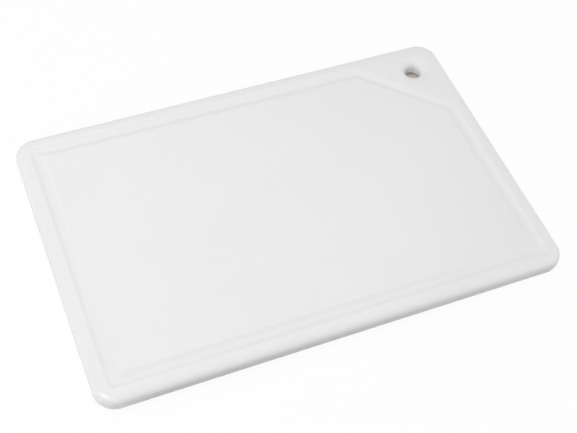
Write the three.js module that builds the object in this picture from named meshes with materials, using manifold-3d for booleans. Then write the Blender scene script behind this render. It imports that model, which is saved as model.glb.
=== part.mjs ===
// A one-piece moulded cutting board. It is a slab with rounded corners and a side that is rounded all the
// way up, more gently over the cutting face. A juice groove runs round the upper face and cuts diagonally
// past one corner, where a hanging hole with flared mouths goes through the slab.
// Millimetres, +Z up. The origin is the middle of the underside, and X runs along the length.

import * as THREE from 'three';
import { mergeVertices } from 'three/addons/utils/BufferGeometryUtils.js';
import Module from 'manifold-3d';

// Slab
const LENGTH = 450;
const WIDTH = 300;
const THICKNESS = 18;
const CORNER_RADIUS = 20; // the four corners, seen from above
const SIDE_BAND = 1; // the upright strip half way up the side, between the two rounded edges
const UPPER_EDGE_WIDTH = 11.5; // how far the upper rounding reaches in over the cutting face
const LOWER_EDGE_WIDTH = 8.5; // how far the lower rounding reaches in under the slab
const EDGE_HEIGHT = (THICKNESS - SIDE_BAND) / 2; // of both roundings

// Juice groove
const GROOVE_INSET = 20; // from the side of the slab to the groove's centre line
const GROOVE_DEPTH = 1.8;
const SCOOP_RADIUS = 12; // the hollow of the groove, in cross-section
const LIP_RADIUS = 6; // where the hollow rolls over into the cutting face
const DIAGONAL_DISTANCE = 80; // from the outline's square corner to the diagonal run's centre line

// Hanging hole
const HOLE_DIAMETER = 16;
const HOLE_INSET = 33; // from each of the two nearest sides to the hole's axis
const UPPER_MOUTH_WIDTH = UPPER_EDGE_WIDTH; // the mouth in the cutting face is rounded like the slab's edge
const UPPER_MOUTH_HEIGHT = EDGE_HEIGHT;
const LOWER_MOUTH_RADIUS = 6;

// Surface of moulded polyethylene
const BOARD_COLOUR = 0xeeeeec;
const BOARD_ROUGHNESS = 0.42;

// Facets
const PLAN_CORNER_STEPS = 16; // along each quarter circle of the outline
const UPPER_EDGE_STEPS = 10;
const LOWER_EDGE_STEPS = 8;
const SCOOP_STEPS = 10; // across the whole hollow
const LIP_STEPS = 5; // across each lip
const GROOVE_TURN_STEPS = 48; // round a full turn, a multiple of 16 so that runs and mitres meet its facets
const HOLE_TURN_STEPS = 40;
const UPPER_MOUTH_STEPS = 8;
const LOWER_MOUTH_STEPS = 6;

// How far a cutter stands past the face that it opens
const CUTTER_OVERSHOOT = 5;

const QUARTER_TURN = Math.PI / 2;

const wasm = await Module();
wasm.setup();

// Turn a closed three.js geometry into a solid that can be joined and cut.
function toSolid(geometry) {
  const bare = geometry.clone();
  bare.deleteAttribute('normal');
  bare.deleteAttribute('uv');
  const merged = mergeVertices(bare);
  const vertProperties = new Float32Array(merged.attributes.position.array);
  const triVerts = new Uint32Array(merged.index.array);
  return new wasm.Manifold(new wasm.Mesh({ numProp: 3, vertProperties, triVerts }));
}

function toGeometry(solid) {
  const mesh = solid.getMesh();
  const geometry = new THREE.BufferGeometry();
  geometry.setAttribute('position', new THREE.BufferAttribute(mesh.vertProperties, mesh.numProp));
  geometry.setIndex(new THREE.BufferAttribute(mesh.triVerts, 1));
  geometry.computeVertexNormals();
  return geometry;
}

// Points along a stretch of an ellipse, from one angle to another.
function ellipsePoints(centreX, centreY, radiusX, radiusY, fromAngle, toAngle, steps) {
  const clockwise = toAngle < fromAngle;
  const curve = new THREE.EllipseCurve(centreX, centreY, radiusX, radiusY, fromAngle, toAngle, clockwise);
  return curve.getPoints(steps);
}

// Points along an arc of a circle, from one angle to another.
function arcPoints(centreX, centreY, radius, fromAngle, toAngle, steps) {
  return ellipsePoints(centreX, centreY, radius, radius, fromAngle, toAngle, steps);
}

// The slab's outline from above: a rectangle with round corners.
function outlineShape() {
  const x = LENGTH / 2 - CORNER_RADIUS;
  const y = WIDTH / 2 - CORNER_RADIUS;
  const outline = new THREE.Shape();
  outline.absarc(x, y, CORNER_RADIUS, 0, QUARTER_TURN);
  outline.absarc(-x, y, CORNER_RADIUS, QUARTER_TURN, 2 * QUARTER_TURN);
  outline.absarc(-x, -y, CORNER_RADIUS, 2 * QUARTER_TURN, 3 * QUARTER_TURN);
  outline.absarc(x, -y, CORNER_RADIUS, 3 * QUARTER_TURN, 4 * QUARTER_TURN);
  return outline;
}

// The outline extruded between two heights, with its top and bottom edges rounded by quarter ellipses.
function roundedExtrusion(bottom, top, edgeWidth, edgeSteps) {
  const geometry = new THREE.ExtrudeGeometry(outlineShape(), {
    depth: top - bottom - 2 * EDGE_HEIGHT,
    bevelSize: edgeWidth,
    bevelThickness: EDGE_HEIGHT,
    bevelOffset: -edgeWidth,
    bevelSegments: edgeSteps,
    curveSegments: PLAN_CORNER_STEPS / 2, // three.js gives an arc twice this many steps
  });
  geometry.translate(0, 0, bottom + EDGE_HEIGHT);
  return toSolid(geometry);
}

// The two edges differ, so the slab is what two rounded extrusions have in common: one ends at the
// cutting face and runs on below the underside, the other starts at the underside and runs on above.
function makeSlab() {
  const upper = roundedExtrusion(-THICKNESS, THICKNESS, UPPER_EDGE_WIDTH, UPPER_EDGE_STEPS);
  const lower = roundedExtrusion(0, 2 * THICKNESS, LOWER_EDGE_WIDTH, LOWER_EDGE_STEPS);
  return upper.intersect(lower);
}

// Half of the groove's cross-section, from the middle of its floor out to the cutting face:
// the hollow's arc, then the lip's arc, which touches both the hollow and the face.
function grooveHalfProfile() {
  const scoopCentreZ = THICKNESS - GROOVE_DEPTH + SCOOP_RADIUS;
  const lipCentreZ = THICKNESS - LIP_RADIUS;
  const centreGap = SCOOP_RADIUS + LIP_RADIUS;
  const halfWidth = Math.sqrt(centreGap ** 2 - (scoopCentreZ - lipCentreZ) ** 2);
  const lean = Math.asin(halfWidth / centreGap); // steepest slope of the wall
  const floorAngle = -QUARTER_TURN;
  const hollow = arcPoints(0, scoopCentreZ, SCOOP_RADIUS, floorAngle, floorAngle + lean, SCOOP_STEPS / 2);
  const lip = arcPoints(halfWidth, lipCentreZ, LIP_RADIUS, QUARTER_TURN + lean, QUARTER_TURN, LIP_STEPS);
  return [...hollow, ...lip.slice(1)];
}

// The groove's centre line, anticlockwise from above: three square corners, and two bends where the
// diagonal run passes the corner with the hanging hole.
function grooveCorners() {
  const x = LENGTH / 2 - GROOVE_INSET;
  const y = WIDTH / 2 - GROOVE_INSET;
  const diagonalSum = LENGTH / 2 + WIDTH / 2 - DIAGONAL_DISTANCE * Math.SQRT2; // x + y along the diagonal
  return [
    new THREE.Vector2(-x, -y),
    new THREE.Vector2(x, -y),
    new THREE.Vector2(x, diagonalSum - x),
    new THREE.Vector2(diagonalSum - y, y),
    new THREE.Vector2(-x, y),
  ];
}

// One straight run of the groove: its whole cross-section swept from one corner to the next.
function grooveRun(halfProfile, from, to) {
  const top = THICKNESS + CUTTER_OVERSHOOT;
  const edge = halfProfile.at(-1).x;
  const leftSide = halfProfile.slice(1).map((point) => new THREE.Vector2(-point.x, point.y));
  const section = [...leftSide.reverse(), ...halfProfile];
  section.push(new THREE.Vector2(edge, top), new THREE.Vector2(-edge, top));
  const along = to.clone().sub(from);
  const run = new THREE.ExtrudeGeometry(new THREE.Shape(section), {
    depth: along.length(),
    bevelEnabled: false,
  });
  // The section is drawn in X and Y and swept along Z: stand it up, then turn it along the run.
  run.rotateX(QUARTER_TURN);
  run.rotateZ(along.angle() + QUARTER_TURN);
  run.translate(from.x, from.y, 0);
  return toSolid(run);
}

// One corner of the groove: the cross-section turned about the corner, as a round cutter leaves it.
function grooveTurn(halfProfile, corner) {
  const top = THICKNESS + CUTTER_OVERSHOOT;
  const edge = halfProfile.at(-1).x;
  const section = [...halfProfile, new THREE.Vector2(edge, top), new THREE.Vector2(0, top)];
  const turn = new THREE.LatheGeometry(section, GROOVE_TURN_STEPS);
  turn.rotateX(QUARTER_TURN);
  turn.translate(corner.x, corner.y, 0);
  return toSolid(turn);
}

function makeGroove() {
  const halfProfile = grooveHalfProfile();
  const corners = grooveCorners();
  const nextCorner = (i) => corners[(i + 1) % corners.length];
  const runs = corners.map((corner, i) => grooveRun(halfProfile, corner, nextCorner(i)));
  const turns = corners.map((corner) => grooveTurn(halfProfile, corner));
  return [...runs, ...turns].reduce((groove, stretch) => groove.add(stretch));
}

// The hanging hole: a straight bore that flares out at both faces, more widely at the cutting face.
function makeHole() {
  const bore = HOLE_DIAMETER / 2;
  const lowerMouth = bore + LOWER_MOUTH_RADIUS;
  const upperMouth = bore + UPPER_MOUTH_WIDTH;
  const lowerZ = LOWER_MOUTH_RADIUS;
  const upperZ = THICKNESS - UPPER_MOUTH_HEIGHT;
  const inward = 2 * QUARTER_TURN; // the side of each flare that faces the bore
  const lowerFlare = arcPoints(
    lowerMouth, lowerZ, LOWER_MOUTH_RADIUS, 3 * QUARTER_TURN, inward, LOWER_MOUTH_STEPS,
  );
  const upperFlare = ellipsePoints(
    upperMouth, upperZ, UPPER_MOUTH_WIDTH, UPPER_MOUTH_HEIGHT, inward, QUARTER_TURN, UPPER_MOUTH_STEPS,
  );
  const section = [
    new THREE.Vector2(0, -CUTTER_OVERSHOOT),
    new THREE.Vector2(lowerMouth, -CUTTER_OVERSHOOT),
    ...lowerFlare,
    ...upperFlare,
    new THREE.Vector2(upperMouth, THICKNESS + CUTTER_OVERSHOOT),
    new THREE.Vector2(0, THICKNESS + CUTTER_OVERSHOOT),
  ];
  const hole = new THREE.LatheGeometry(section, HOLE_TURN_STEPS);
  hole.rotateX(QUARTER_TURN);
  hole.translate(LENGTH / 2 - HOLE_INSET, WIDTH / 2 - HOLE_INSET, 0);
  return toSolid(hole);
}

const board = new THREE.Mesh(
  toGeometry(makeSlab().subtract(makeGroove()).subtract(makeHole())),
  new THREE.MeshStandardMaterial({ color: BOARD_COLOUR, roughness: BOARD_ROUGHNESS, metalness: 0 }),
);
board.name = 'board';

const cuttingBoard = new THREE.Group();
cuttingBoard.add(board);

export default cuttingBoard;
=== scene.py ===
# A white plastic cutting board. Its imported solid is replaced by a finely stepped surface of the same
# sizes, whose upper edge turns over more tightly, with a procedural polyethylene material. It lies under
# soft light and is seen from the photograph's angle.
# Metres, +Z up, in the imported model's frame: the origin is the middle of the underside.

import math

import bpy
from mathutils import Matrix, Vector
from mathutils.geometry import tessellate_polygon


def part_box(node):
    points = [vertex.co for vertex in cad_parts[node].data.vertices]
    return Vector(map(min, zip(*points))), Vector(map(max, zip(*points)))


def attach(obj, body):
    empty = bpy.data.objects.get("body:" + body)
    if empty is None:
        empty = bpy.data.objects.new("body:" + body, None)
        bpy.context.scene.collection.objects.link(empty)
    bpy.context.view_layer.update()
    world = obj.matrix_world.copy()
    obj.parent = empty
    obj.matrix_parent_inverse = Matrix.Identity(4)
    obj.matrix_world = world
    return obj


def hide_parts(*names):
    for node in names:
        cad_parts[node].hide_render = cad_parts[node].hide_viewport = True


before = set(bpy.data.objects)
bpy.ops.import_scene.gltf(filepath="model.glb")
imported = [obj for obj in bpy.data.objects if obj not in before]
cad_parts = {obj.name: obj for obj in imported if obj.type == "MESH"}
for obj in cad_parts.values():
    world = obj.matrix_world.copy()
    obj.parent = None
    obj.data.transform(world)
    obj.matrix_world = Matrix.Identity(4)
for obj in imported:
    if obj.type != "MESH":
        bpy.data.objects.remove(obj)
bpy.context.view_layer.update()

BOARD = "board"
BODY = "root"

# Sizes of the board. The length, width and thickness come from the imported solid.
lowest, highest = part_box(BOARD)
LENGTH, WIDTH, THICKNESS = highest - lowest
CORNER_RADIUS = 0.020
SIDE_BAND = 0.001  # the upright strip half way up the side, between the two rounded edges
UPPER_EDGE_WIDTH = 0.0115  # how far the upper rounding reaches in over the cutting face
LOWER_EDGE_WIDTH = 0.0085  # how far the lower rounding reaches in under the slab
EDGE_HEIGHT = (THICKNESS - SIDE_BAND) / 2  # of both roundings
ELLIPSE = 2  # the fullness of a rounding that is a quarter ellipse
UPPER_EDGE_FULLNESS = 3  # a fuller curve in the same width and height turns over more tightly
GROOVE_INSET = 0.020  # from the side of the slab to the groove's centre line
GROOVE_DEPTH = 0.0018
SCOOP_RADIUS = 0.012  # the hollow of the groove, in cross-section
LIP_RADIUS = 0.006  # where the hollow rolls over into the cutting face
DIAGONAL_DISTANCE = 0.080  # from the outline's square corner to the diagonal run's centre line
INNER_TURN_RADIUS = 0.0012  # the groove's inner corners, which a cutter leaves almost sharp
HOLE_RADIUS = 0.008
HOLE_INSET = 0.033  # from each of the two nearest sides to the hole's axis
UPPER_MOUTH_WIDTH = UPPER_EDGE_WIDTH  # the mouth in the cutting face reaches as far as the slab's edge
UPPER_MOUTH_HEIGHT = EDGE_HEIGHT
LOWER_MOUTH_RADIUS = 0.006

# Steps of the surface
CORNER_STEPS = 32
ROUNDING_STEPS = 24  # over each rounded edge of the slab and each flare of the hole
SCOOP_STEPS = 14  # from the middle of the groove to one side
LIP_STEPS = 12
GROOVE_TURN_STEPS = 20
HOLE_STEPS = 96

# Colour of the plastic
CLOUD_DARK = (0.905, 0.905, 0.904, 1)
CLOUD_LIGHT = (0.935, 0.935, 0.934, 1)
CLOUD_SCALE = 14
CLOUD_DETAIL = 4
SPECK_COLOUR = (0.78, 0.77, 0.75, 1)
SPECKS_PER_METRE = 7
SPECK_RADIUS = 0.0007

# Light in the plastic
SCATTERED_SHARE = 0.25
SCATTER_DEPTH = 0.0025
SCATTER_REACH = (1.0, 0.95, 0.9)  # of red, green and blue light, as shares of that depth
REFRACTIVE_INDEX = 1.51

# Surface of the plastic
LEAST_ROUGHNESS = 0.18
MOST_ROUGHNESS = 0.27
GLOSS_SCALE = 60
GLOSS_DETAIL = 6
STIPPLE_SCALE = 900
STIPPLE_DETAIL = 2
STIPPLE_STRENGTH = 0.1
STIPPLE_HEIGHT = 0.0001

# The photograph's camera, fitted to the board's outline, groove and hole
IMAGE_WIDTH = 577  # pixels
FOCAL_LENGTH = 1099.6  # pixels
SENSOR_WIDTH = 36  # millimetres, Blender's default
CAMERA_TARGET = Vector((0.00192, -0.00716, 0))
CAMERA_DISTANCE = 1.0509
CAMERA_AZIMUTH = math.radians(-27.10)
CAMERA_ELEVATION = math.radians(53.46)
CAMERA_ROLL = math.radians(6.57)

# Light: an even sky, and square lamps that face the board. An azimuth of 180 is off the board's left end
# and 270 is the camera's side. The gloss doesn't show the two low lamps, whose glare would fill the
# whole cutting face in a low view from the far side.
SKY_STRENGTH = 0.45
LAMP_DISTANCE = 1.6
LAMPS = (
    # name, azimuth and elevation in degrees, side in metres, power in watts, shown by the gloss or not
    ("window", 178, 62, 0.38, 4.2, True),
    ("left", 180, 30, 0.7, 3.0, False),
    ("front_left", 225, 60, 0.7, 2.4, True),
    ("low_right", 330, 10, 0.7, 5.9, False),
    ("back", 68, 62, 1.0, 2.45, True),
    ("back_left", 120, 45, 0.7, 0.6, True),
)

# Floor
FLOOR_SIZE = 8.0
FLOOR_DROP = 0.0001  # keeps the floor and the underside apart
FLOOR_GLOW = 0.93  # of white, where the camera sees the floor; the rest is lit, and carries the shadow
TABLE_COLOUR = (0.28, 0.28, 0.28, 1)  # of the floor, for the light that it throws back
CARD_COLOUR = (0.80, 0.80, 0.80, 1)  # of a pale card on the table, off the board's left end
CARD_BLEND = 0.04  # over which the card's colour gives way to the table's
PATCH_COLOUR = (0.80, 0.75, 0.69, 1)  # of the table right under the board, seen through the hole
PATCH_ROUGHNESS = 0.6
PATCH_MARGIN = 0.012  # the patch stops this far inside the board's outline

QUARTER_TURN = math.pi / 2
UP = Vector((0, 0, 1))
WHITE = (1, 1, 1, 1)


def flat_direction(angle):
    return Vector((math.cos(angle), math.sin(angle), 0))


class Surface:
    """Points with their exact normals, and the faces between them."""

    def __init__(self):
        self.points = []
        self.normals = []
        self.faces = []

    def add_ring(self, ring):
        """Adds a ring of (point, normal) pairs and returns their indices."""
        first = len(self.points)
        for point, normal in ring:
            self.points.append(point)
            self.normals.append(normal.normalized())
        return list(range(first, len(self.points)))

    def bridge(self, rings):
        """Joins each ring to the next with quads, and returns the indices of the first and last ring."""
        indices = [self.add_ring(ring) for ring in rings]
        for near, far in zip(indices, indices[1:]):
            count = len(near)
            for i in range(count):
                j = (i + 1) % count
                self.faces.append((near[i], near[j], far[j], far[i]))
        return indices[0], indices[-1]

    def fill(self, facing, *loops):
        """Fills the flat area inside the first loop and outside the others."""
        flat = [i for loop in loops for i in loop]
        for triangle in tessellate_polygon([[self.points[i] for i in loop] for loop in loops]):
            a, b, c = (flat[i] for i in triangle)
            turn = (self.points[b] - self.points[a]).cross(self.points[c] - self.points[a])
            self.faces.append((a, b, c) if turn.dot(facing) > 0 else (a, c, b))

    def to_object(self, name):
        mesh = bpy.data.meshes.new(name)
        mesh.from_pydata(self.points, [], self.faces)
        mesh.polygons.foreach_set("use_smooth", [True] * len(mesh.polygons))
        mesh.normals_split_custom_set_from_vertices(self.normals)
        piece = bpy.data.objects.new(name, mesh)
        bpy.context.scene.collection.objects.link(piece)
        return piece


def outline_ring(inset, height, lean):
    """A ring round the slab, some way in from its side. Its normals point up by the angle lean."""
    corners = ((1, 1), (-1, 1), (-1, -1), (1, -1))
    ring = []
    for quarter, (side_x, side_y) in enumerate(corners):
        x = side_x * (LENGTH / 2 - CORNER_RADIUS)
        y = side_y * (WIDTH / 2 - CORNER_RADIUS)
        for step in range(CORNER_STEPS + 1):
            outward = flat_direction((quarter + step / CORNER_STEPS) * QUARTER_TURN)
            point = Vector((x, y, height)) + outward * (CORNER_RADIUS - inset)
            ring.append((point, outward * math.cos(lean) + UP * math.sin(lean)))
    return ring


def rounding(width, height, fullness=ELLIPSE):
    """(inset, rise, lean) over a rounding, from the upright side to the flat face."""
    for step in range(ROUNDING_STEPS + 1):
        angle = step / ROUNDING_STEPS * QUARTER_TURN
        reach = abs(math.cos(angle)) ** (2 / fullness)
        rise = math.sin(angle) ** (2 / fullness)
        lean = math.atan2(width * rise ** (fullness - 1), height * reach ** (fullness - 1))
        yield width * (1 - reach), height * rise, lean


def rounding_rings(edge_width, fullness, start, side):
    """The slab's upper (side 1) or lower (side -1) rounded edge, from a starting height on its side."""
    return [
        outline_ring(inset, start + side * rise, side * lean)
        for inset, rise, lean in rounding(edge_width, EDGE_HEIGHT, fullness)
    ]


def edge_rings():
    """The slab's side, from the underside round the lower edge, up, and round the upper edge."""
    lower = rounding_rings(LOWER_EDGE_WIDTH, ELLIPSE, EDGE_HEIGHT, -1)
    upper = rounding_rings(UPPER_EDGE_WIDTH, UPPER_EDGE_FULLNESS, THICKNESS - EDGE_HEIGHT, 1)
    return lower[::-1] + upper


def groove_corners():
    """The corners of the groove's centre line, anticlockwise from above."""
    x = LENGTH / 2 - GROOVE_INSET
    y = WIDTH / 2 - GROOVE_INSET
    diagonal_sum = LENGTH / 2 + WIDTH / 2 - DIAGONAL_DISTANCE * math.sqrt(2)
    corners = ((-x, -y), (x, -y), (x, diagonal_sum - x), (diagonal_sum - y, y), (-x, y))
    return [Vector((*corner, 0)) for corner in corners]


def groove_section():
    """(sideways, height, slope) across the groove, from its outer lip to its inner lip."""
    centre_gap = SCOOP_RADIUS + LIP_RADIUS
    half_width = math.sqrt(centre_gap ** 2 - (centre_gap - GROOVE_DEPTH) ** 2)
    steepest = math.asin(half_width / centre_gap)
    half = []
    for step in range(SCOOP_STEPS):
        angle = step / SCOOP_STEPS * steepest
        height = THICKNESS - GROOVE_DEPTH + SCOOP_RADIUS * (1 - math.cos(angle))
        half.append((SCOOP_RADIUS * math.sin(angle), height, math.tan(angle)))
    for step in range(LIP_STEPS + 1):
        angle = (1 - step / LIP_STEPS) * steepest
        height = THICKNESS - LIP_RADIUS * (1 - math.cos(angle))
        half.append((half_width - LIP_RADIUS * math.sin(angle), height, math.tan(angle)))
    inner_half = [(-sideways, height, -slope) for sideways, height, slope in half[1:]]
    return half[::-1] + inner_half


def groove_ring(sideways, height, slope):
    """A ring that follows the groove, some way outside its centre line, or inside it where sideways is
    negative. Outside, it turns round the centre line's corners. Inside, its corners are almost sharp."""
    corners = groove_corners()
    outside = sideways > INNER_TURN_RADIUS
    radius = sideways if outside else INNER_TURN_RADIUS
    ring = []
    for before, corner, after in zip(corners[-1:] + corners, corners, corners[1:] + corners):
        arriving = (corner - before).normalized()
        leaving = (after - corner).normalized()
        first = math.atan2(arriving.y, arriving.x) - QUARTER_TURN
        turn = arriving.angle(leaving)
        middle = flat_direction(first + turn / 2)
        mitre = math.cos(turn / 2)
        centre = corner + middle * ((sideways - radius) / mitre) + UP * height
        for step in range(GROOVE_TURN_STEPS + 1):
            outward = flat_direction(first + turn * step / GROOVE_TURN_STEPS)
            spread = 1 if outside else middle.dot(outward) / mitre
            ring.append((centre + outward * radius, UP - outward * (slope / spread)))
    return ring


def hole_ring(radius, height, lean):
    """A ring round the hole's axis. Its normals point at the axis, and up or down by the angle lean."""
    axis = Vector((LENGTH / 2 - HOLE_INSET, WIDTH / 2 - HOLE_INSET, height))
    ring = []
    for step in range(HOLE_STEPS):
        outward = flat_direction(step / HOLE_STEPS * 2 * math.pi)
        ring.append((axis + outward * radius, UP * math.sin(lean) - outward * math.cos(lean)))
    return ring


def flare_rings(width, height, start, side):
    """The hole's upper (side 1) or lower (side -1) flare, from a starting height on its wall."""
    return [
        hole_ring(HOLE_RADIUS + inset, start + side * rise, side * lean)
        for inset, rise, lean in rounding(width, height)
    ]


def hole_rings():
    """The hole's wall, from the flare at the cutting face down to the flare at the underside."""
    upper = flare_rings(UPPER_MOUTH_WIDTH, UPPER_MOUTH_HEIGHT, THICKNESS - UPPER_MOUTH_HEIGHT, 1)
    lower = flare_rings(LOWER_MOUTH_RADIUS, LOWER_MOUTH_RADIUS, LOWER_MOUTH_RADIUS, -1)
    return upper[::-1] + lower


def make_board():
    surface = Surface()
    underside_edge, face_edge = surface.bridge(edge_rings())
    groove_outer, groove_inner = surface.bridge([groove_ring(*station) for station in groove_section()])
    upper_mouth, lower_mouth = surface.bridge(hole_rings())
    surface.fill(UP, face_edge, groove_outer, upper_mouth)
    surface.fill(UP, groove_inner)
    surface.fill(-UP, underside_edge, lower_mouth)
    return surface.to_object("moulded_board")


def new_material(name):
    material = bpy.data.materials.new(name)
    material.use_nodes = True
    return material, material.node_tree.nodes, material.node_tree.links


def polyethylene():
    """White moulded polyethylene: faint cloudiness, a few specks, and a fine uneven gloss."""
    material, nodes, links = new_material("white_polyethylene")
    shader = nodes["Principled BSDF"]
    shader.inputs["Subsurface Weight"].default_value = SCATTERED_SHARE
    shader.inputs["Subsurface Radius"].default_value = SCATTER_REACH
    shader.inputs["Subsurface Scale"].default_value = SCATTER_DEPTH
    shader.inputs["IOR"].default_value = REFRACTIVE_INDEX
    place = nodes.new("ShaderNodeTexCoord").outputs["Object"]

    clouds = nodes.new("ShaderNodeTexNoise")
    clouds.inputs["Scale"].default_value = CLOUD_SCALE
    clouds.inputs["Detail"].default_value = CLOUD_DETAIL
    links.new(place, clouds.inputs["Vector"])
    colour = nodes.new("ShaderNodeMix")
    colour.data_type = "RGBA"
    colour.inputs["A"].default_value = CLOUD_DARK
    colour.inputs["B"].default_value = CLOUD_LIGHT
    links.new(clouds.outputs["Fac"], colour.inputs["Factor"])

    cells = nodes.new("ShaderNodeTexVoronoi")
    cells.voronoi_dimensions = "2D"
    cells.inputs["Scale"].default_value = SPECKS_PER_METRE
    links.new(place, cells.inputs["Vector"])
    # 1 in the middle of a speck, falling to 0 at its edge
    near_speck = nodes.new("ShaderNodeMapRange")
    near_speck.inputs["From Min"].default_value = SPECK_RADIUS * SPECKS_PER_METRE
    near_speck.inputs["From Max"].default_value = SPECK_RADIUS * SPECKS_PER_METRE / 2
    links.new(cells.outputs["Distance"], near_speck.inputs["Value"])
    speckled = nodes.new("ShaderNodeMix")
    speckled.data_type = "RGBA"
    speckled.inputs["B"].default_value = SPECK_COLOUR
    links.new(near_speck.outputs["Result"], speckled.inputs["Factor"])
    links.new(colour.outputs["Result"], speckled.inputs["A"])
    links.new(speckled.outputs["Result"], shader.inputs["Base Color"])

    gloss = nodes.new("ShaderNodeTexNoise")
    gloss.inputs["Scale"].default_value = GLOSS_SCALE
    gloss.inputs["Detail"].default_value = GLOSS_DETAIL
    links.new(place, gloss.inputs["Vector"])
    roughness = nodes.new("ShaderNodeMapRange")
    roughness.inputs["To Min"].default_value = LEAST_ROUGHNESS
    roughness.inputs["To Max"].default_value = MOST_ROUGHNESS
    links.new(gloss.outputs["Fac"], roughness.inputs["Value"])
    links.new(roughness.outputs["Result"], shader.inputs["Roughness"])

    stipple = nodes.new("ShaderNodeTexNoise")
    stipple.inputs["Scale"].default_value = STIPPLE_SCALE
    stipple.inputs["Detail"].default_value = STIPPLE_DETAIL
    links.new(place, stipple.inputs["Vector"])
    bump = nodes.new("ShaderNodeBump")
    bump.inputs["Strength"].default_value = STIPPLE_STRENGTH
    bump.inputs["Distance"].default_value = STIPPLE_HEIGHT
    links.new(stipple.outputs["Fac"], bump.inputs["Height"])
    links.new(bump.outputs["Normal"], shader.inputs["Normal"])
    return material


def seen_rays(nodes, links):
    """1 for rays from the camera, from a gloss or through glass, 0 for those that light the object."""
    path = nodes.new("ShaderNodeLightPath")
    seen = path.outputs["Is Camera Ray"]
    for kind in ("Is Glossy Ray", "Is Transmission Ray"):
        either = nodes.new("ShaderNodeMath")
        either.operation = "MAXIMUM"
        links.new(seen, either.inputs[0])
        links.new(path.outputs[kind], either.inputs[1])
        seen = either.outputs["Value"]
    return seen


def flat_sheet(name, half_x, half_y, height):
    mesh = bpy.data.meshes.new(name)
    corners = [(-half_x, -half_y), (half_x, -half_y), (half_x, half_y), (-half_x, half_y)]
    mesh.from_pydata([(x, y, height) for x, y in corners], [], [(0, 1, 2, 3)])
    sheet = bpy.data.objects.new(name, mesh)
    bpy.context.scene.collection.objects.link(sheet)
    return sheet


def make_floor():
    """A floor that looks white but throws back no more light than a table does."""
    material, nodes, links = new_material("floor")
    nodes.remove(nodes["Principled BSDF"])
    table = nodes.new("ShaderNodeBsdfDiffuse")
    across = nodes.new("ShaderNodeSeparateXYZ")
    links.new(nodes.new("ShaderNodeTexCoord").outputs["Object"], across.inputs["Vector"])
    ramp = nodes.new("ShaderNodeMapRange")
    ramp.inputs["From Min"].default_value = -LENGTH / 2
    ramp.inputs["From Max"].default_value = -LENGTH / 2 + CARD_BLEND
    links.new(across.outputs["X"], ramp.inputs["Value"])
    colour = nodes.new("ShaderNodeMix")
    colour.data_type = "RGBA"
    colour.inputs["A"].default_value = CARD_COLOUR
    colour.inputs["B"].default_value = TABLE_COLOUR
    links.new(ramp.outputs["Result"], colour.inputs["Factor"])
    links.new(colour.outputs["Result"], table.inputs["Color"])
    lit = nodes.new("ShaderNodeBsdfDiffuse")
    lit.inputs["Color"].default_value = WHITE
    glow = nodes.new("ShaderNodeEmission")
    white = nodes.new("ShaderNodeMixShader")
    white.inputs["Fac"].default_value = FLOOR_GLOW
    links.new(lit.outputs["BSDF"], white.inputs[1])
    links.new(glow.outputs["Emission"], white.inputs[2])
    choice = nodes.new("ShaderNodeMixShader")
    links.new(seen_rays(nodes, links), choice.inputs["Fac"])
    links.new(table.outputs["BSDF"], choice.inputs[1])
    links.new(white.outputs["Shader"], choice.inputs[2])
    links.new(choice.outputs["Shader"], nodes["Material Output"].inputs["Surface"])
    floor = flat_sheet("floor", FLOOR_SIZE / 2, FLOOR_SIZE / 2, -FLOOR_DROP)
    floor.data.materials.append(material)


def make_table_patch():
    """The table right under the board, which shows only through the hanging hole."""
    material, nodes, _ = new_material("table")
    shader = nodes["Principled BSDF"]
    shader.inputs["Base Color"].default_value = PATCH_COLOUR
    shader.inputs["Roughness"].default_value = PATCH_ROUGHNESS
    half_x = LENGTH / 2 - PATCH_MARGIN
    half_y = WIDTH / 2 - PATCH_MARGIN
    patch = flat_sheet("table_patch", half_x, half_y, -FLOOR_DROP / 2)
    patch.data.materials.append(material)


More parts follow.
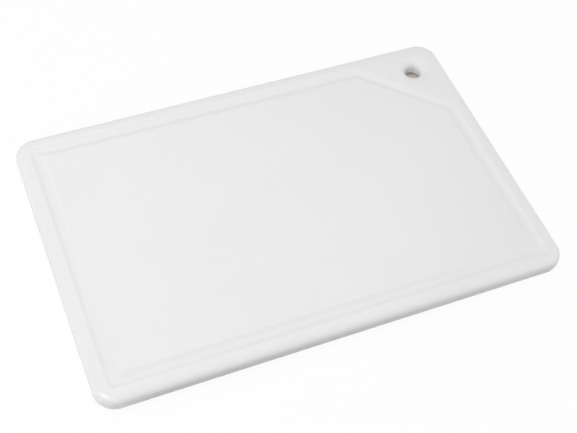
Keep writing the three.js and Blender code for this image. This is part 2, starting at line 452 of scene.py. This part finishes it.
def make_world():
    world = bpy.data.worlds.new("studio")
    bpy.context.scene.world = world
    world.use_nodes = True
    nodes, links = world.node_tree.nodes, world.node_tree.links
    sky = nodes["Background"]
    sky.inputs["Color"].default_value = WHITE
    sky.inputs["Strength"].default_value = SKY_STRENGTH
    white = nodes.new("ShaderNodeBackground")
    white.inputs["Color"].default_value = WHITE
    choice = nodes.new("ShaderNodeMixShader")
    links.new(seen_rays(nodes, links), choice.inputs["Fac"])
    links.new(sky.outputs["Background"], choice.inputs[1])
    links.new(white.outputs["Background"], choice.inputs[2])
    links.new(choice.outputs["Shader"], nodes["World Output"].inputs["Surface"])


def make_lamp(name, azimuth, elevation, side, power, in_gloss):
    lamp = bpy.data.lights.new(name, "AREA")
    lamp.size = side
    lamp.energy = power
    height = math.radians(elevation)
    away = flat_direction(math.radians(azimuth)) * math.cos(height) + UP * math.sin(height)
    holder = bpy.data.objects.new(name, lamp)
    holder.visible_glossy = in_gloss
    holder.location = away * LAMP_DISTANCE
    holder.rotation_euler = away.to_track_quat("Z", "Y").to_euler()
    bpy.context.scene.collection.objects.link(holder)


def make_camera():
    right = flat_direction(CAMERA_AZIMUTH)
    level_back = flat_direction(CAMERA_AZIMUTH - QUARTER_TURN)
    back = level_back * math.cos(CAMERA_ELEVATION) + UP * math.sin(CAMERA_ELEVATION)
    axes = Matrix((right, back.cross(right), back)).transposed()
    data = bpy.data.cameras.new("camera")
    data.lens = FOCAL_LENGTH / IMAGE_WIDTH * SENSOR_WIDTH
    data.sensor_width = SENSOR_WIDTH
    camera = bpy.data.objects.new("camera", data)
    camera.location = CAMERA_TARGET + back * CAMERA_DISTANCE
    camera.rotation_euler = (axes @ Matrix.Rotation(CAMERA_ROLL, 3, "Z")).to_euler()
    bpy.context.scene.collection.objects.link(camera)
    bpy.context.scene.camera = camera


board = make_board()
board.data.materials.append(polyethylene())
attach(board, BODY)
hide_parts(BOARD)

make_floor()
make_table_patch()
make_world()
for lamp in LAMPS:
    make_lamp(*lamp)
make_camera()
bpy.context.scene.view_settings.view_transform = "Standard"
